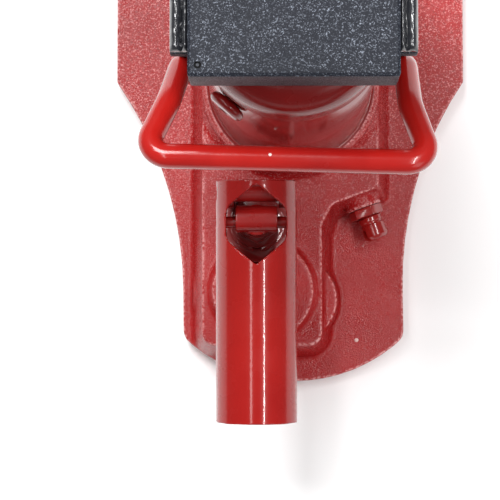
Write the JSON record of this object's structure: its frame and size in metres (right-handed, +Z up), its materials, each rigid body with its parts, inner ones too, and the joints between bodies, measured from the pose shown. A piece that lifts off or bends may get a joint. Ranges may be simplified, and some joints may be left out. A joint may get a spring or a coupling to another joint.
{
  "type": "hydraulic toe jack",
  "caption": "Hydraulic toe jack: a red base and cylinder push up a black head and low toe; a swivelling lever socket works the pump.",
  "frame": {"origin": "on the floor, on the vertical axis of the lifting cylinder, at the underside of the base", "axes": "+Z up along the ram, +Y towards the toe, +X to the right seen from above with the toe ahead"},
  "size_m": [0.2214, 0.3489, 0.368],
  "materials": {
    "base_paint": "textured satin red enamel on a casting",
    "tank_paint": "glossy red enamel",
    "cap_paint": "glossy deep red enamel",
    "handle_paint": "glossy red enamel",
    "socket_paint": "semi-gloss red enamel",
    "collar_paint": "semi-gloss deep red enamel",
    "pin_paint": "red enamel with worn edges",
    "valve_paint": "glossy red enamel",
    "hammered_black": "black hammered enamel",
    "weld_black": "glossy black enamel over weld beads",
    "machined_steel": "turned steel",
    "zinc_steel": "zinc-plated steel",
    "spring_steel": "oiled spring steel",
    "hard_chrome": "ground hard chrome",
    "bronze": "machined bronze",
    "seal_rubber": "moulded nitrile rubber",
    "plug_paint": "deep red enamel on a screwed plug"
  },
  "bodies": {
    "base": {"base_casting": "base_paint", "relief_valve_plug": "zinc_steel", "gallery_plug": "zinc_steel", "check_valve_plug": "valve_paint", "check_valve_ball": "hard_chrome", "check_valve_spring": "spring_steel", "tank_gasket": "seal_rubber", "tank_tube": "tank_paint", "tank_cap": "cap_paint", "oil_filler_plug": "plug_paint", "cylinder_tube": "machined_steel", "ram_guide": "bronze", "ram_wiper": "seal_rubber", "lower_spring_anchor_left": "zinc_steel", "lower_spring_anchor_right": "zinc_steel", "return_spring_left": "spring_steel", "return_spring_right": "spring_steel", "pump_cylinder": "collar_paint", "pump_seal": "seal_rubber", "pump_gland_nut": "collar_paint", "swivel_circlip": "collar_paint", "release_gland_nut": "valve_paint"},
    "lifting_frame": {"head_plate": "hammered_black", "side_plate_left": "hammered_black", "side_plate_right": "hammered_black", "front_plate": "hammered_black", "toe": "hammered_black", "head_weld_left": "weld_black", "head_weld_right": "weld_black", "upper_spring_anchor_left": "zinc_steel", "upper_spring_anchor_right": "zinc_steel", "guide_saddle": "bronze", "carry_handle": "handle_paint", "ram": "hard_chrome", "piston": "machined_steel", "piston_seal": "seal_rubber", "piston_nut": "zinc_steel"},
    "swivel": {"swivel_collar": "collar_paint", "fulcrum_pin": "pin_paint"},
    "plunger": {"pump_plunger": "hard_chrome"},
    "socket": {"lever_socket": "socket_paint", "plunger_pin": "pin_paint"},
    "release_ball": {"release_ball": "hard_chrome"},
    "release_screw": {"release_spindle": "valve_paint"}
  },
  "joints": [
    {"name": "lift", "type": "slide", "parent": "base", "child": "lifting_frame", "axis": [0, 0, 1], "range_m": [0, 0.205], "stiffness_N_per_m": 300, "springref_m": -0.1, "deforming": ["return_spring_left", "return_spring_right"]},
    {"name": "socket_swivel", "type": "hinge", "parent": "base", "child": "swivel", "pos_m": [-0.0207, -0.089, 0.06], "axis": [0, 0, 1], "range_deg": [-90, 90]},
    {"name": "socket_pump", "type": "hinge", "parent": "swivel", "child": "socket", "pos_m": [-0.0207, -0.074, 0.11], "axis": [-1, 0, 0], "range_deg": [0, 44]},
    {"name": "plunger_stroke", "type": "slide", "parent": "swivel", "child": "plunger", "axis": [0, 0, 1], "range_m": [0, 0.0125]},
    {"name": "release_travel", "type": "slide", "parent": "base", "child": "release_ball", "axis": [0.342, -0.9397, 0], "range_m": [0, 0.003]},
    {"name": "release_turn", "type": "hinge", "parent": "release_ball", "child": "release_screw", "pos_m": [0.0455, -0.0733, 0.03], "axis": [0.342, -0.9397, 0], "range_deg": [0, 730]}
  ],
  "couplings": [
    {"joint": "plunger_stroke", "follows": "socket_pump", "m_per_rad": 0.01577},
    {"joint": "release_turn", "follows": "release_travel", "rad_per_m": 4188.8}
  ]
}
